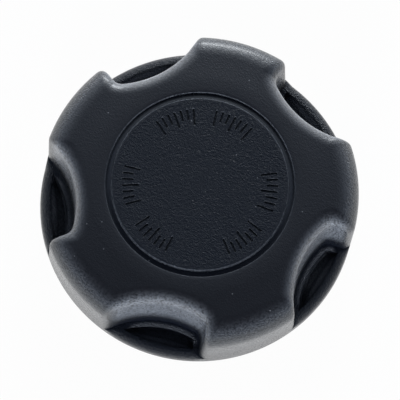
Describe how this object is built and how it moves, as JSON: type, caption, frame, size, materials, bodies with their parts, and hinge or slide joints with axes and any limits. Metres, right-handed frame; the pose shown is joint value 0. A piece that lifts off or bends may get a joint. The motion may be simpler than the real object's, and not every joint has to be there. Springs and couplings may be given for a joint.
{
  "type": "fuel filler cap",
  "caption": "Round screw-on fuel filler cap with a scalloped hand grip, a torque ratchet, a threaded closure with gasket, and a pressure and vacuum vent valve.",
  "frame": {"origin": "on the cap's axis at the grip's lower rim", "axes": "+Z along the axis from the neck side to the top face; +X through the middle of one finger notch"},
  "size_m": [0.1, 0.1, 0.029],
  "materials": {
    "grip_plastic": "fine moulded grain",
    "closure_plastic": "smooth moulded nylon",
    "acetal": "natural acetal",
    "spring_steel": "bright drawn",
    "nitrile_rubber": "moulded rubber",
    "valve_plastic": "grey moulded acetal",
    "valve_metal": "turned",
    "filter_foam": "open-cell foam",
    "screen_steel": "woven mesh"
  },
  "bodies": {
    "closure": {"closure_body": "closure_plastic", "neck_gasket": "nitrile_rubber", "valve_housing": "valve_plastic", "housing_seal": "nitrile_rubber", "housing_screws": "spring_steel", "housing_cover": "valve_plastic", "dust_filter": "filter_foam", "fuel_screen": "screen_steel", "splash_baffle": "closure_plastic", "pressure_spring": "spring_steel"},
    "grip": {"grip_shell": "grip_plastic", "snap_ring": "spring_steel", "glide_washer": "acetal", "wave_spring": "spring_steel"},
    "ratchet": {"ratchet_ring": "acetal"},
    "relief_valve": {"pressure_plate": "valve_metal", "seat_seal": "nitrile_rubber", "vacuum_spring": "spring_steel"},
    "vacuum_valve": {"vacuum_poppet": "acetal", "stem_clip": "spring_steel"}
  },
  "joints": [
    {"name": "grip_turn", "type": "hinge", "parent": "closure", "child": "grip", "pos_m": [0, 0, 0], "axis": [0, 0, 1], "continuous": true},
    {"name": "ratchet_lift", "type": "slide", "parent": "grip", "child": "ratchet", "axis": [0, 0, 1], "range_m": [0, 0.0012], "stiffness_N_per_m": 1500, "springref_m": -0.004, "deforming": ["wave_spring"]},
    {"name": "relief_lift", "type": "slide", "parent": "closure", "child": "relief_valve", "axis": [0, 0, 1], "range_m": [0, 0.001], "stiffness_N_per_m": 400, "springref_m": -0.004, "deforming": ["pressure_spring"]},
    {"name": "vacuum_open", "type": "slide", "parent": "relief_valve", "child": "vacuum_valve", "axis": [0, 0, -1], "range_m": [0, 0.0007], "stiffness_N_per_m": 40, "springref_m": -0.003, "deforming": ["vacuum_spring"]}
  ]
}
